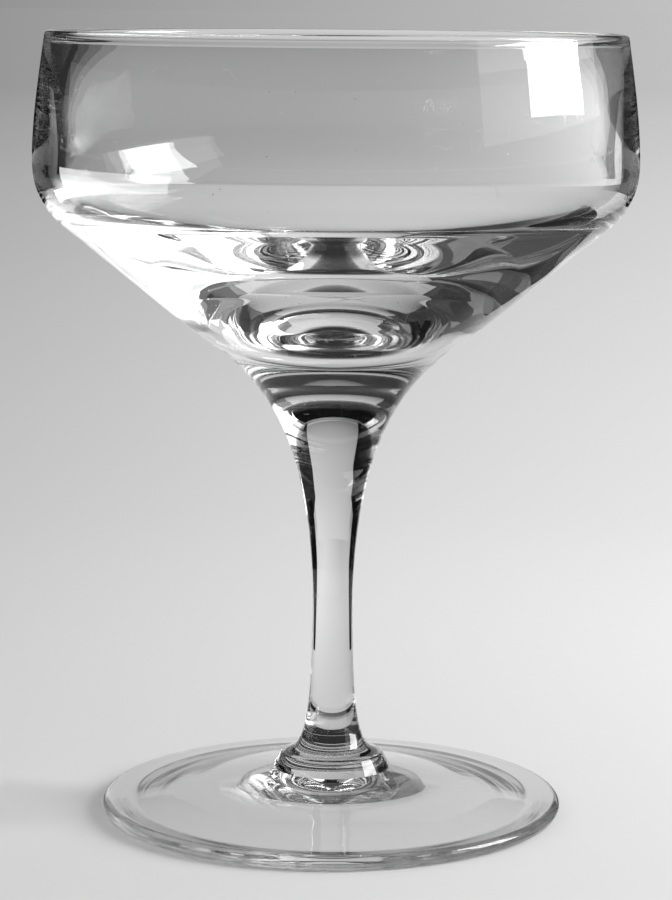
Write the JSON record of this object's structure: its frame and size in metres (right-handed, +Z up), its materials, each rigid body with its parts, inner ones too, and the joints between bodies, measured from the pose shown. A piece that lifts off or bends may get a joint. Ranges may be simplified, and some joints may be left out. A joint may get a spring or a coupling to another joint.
{
  "type": "sherbet glass",
  "caption": "Clear stemmed dessert glass with a wide upright-sided bowl, sloping cone, slim flared stem and round foot, for serving sherbet, fruit or sparkling drinks.",
  "frame": {"origin": "centre of the foot's standing ring, on the plane that the glass stands on", "axes": "+Z up the axis of the stem; the glass is turned, so X and Y may face any way, and -Y is the side seen from the front"},
  "size_m": [0.0962, 0.0962, 0.1257],
  "materials": {
    "clear_glass": "polished clear soda glass, with light dust and fine wear marks"
  },
  "bodies": {
    "root": {"bowl": "clear_glass", "stem": "clear_glass", "foot": "clear_glass"}
  },
  "joints": []
}
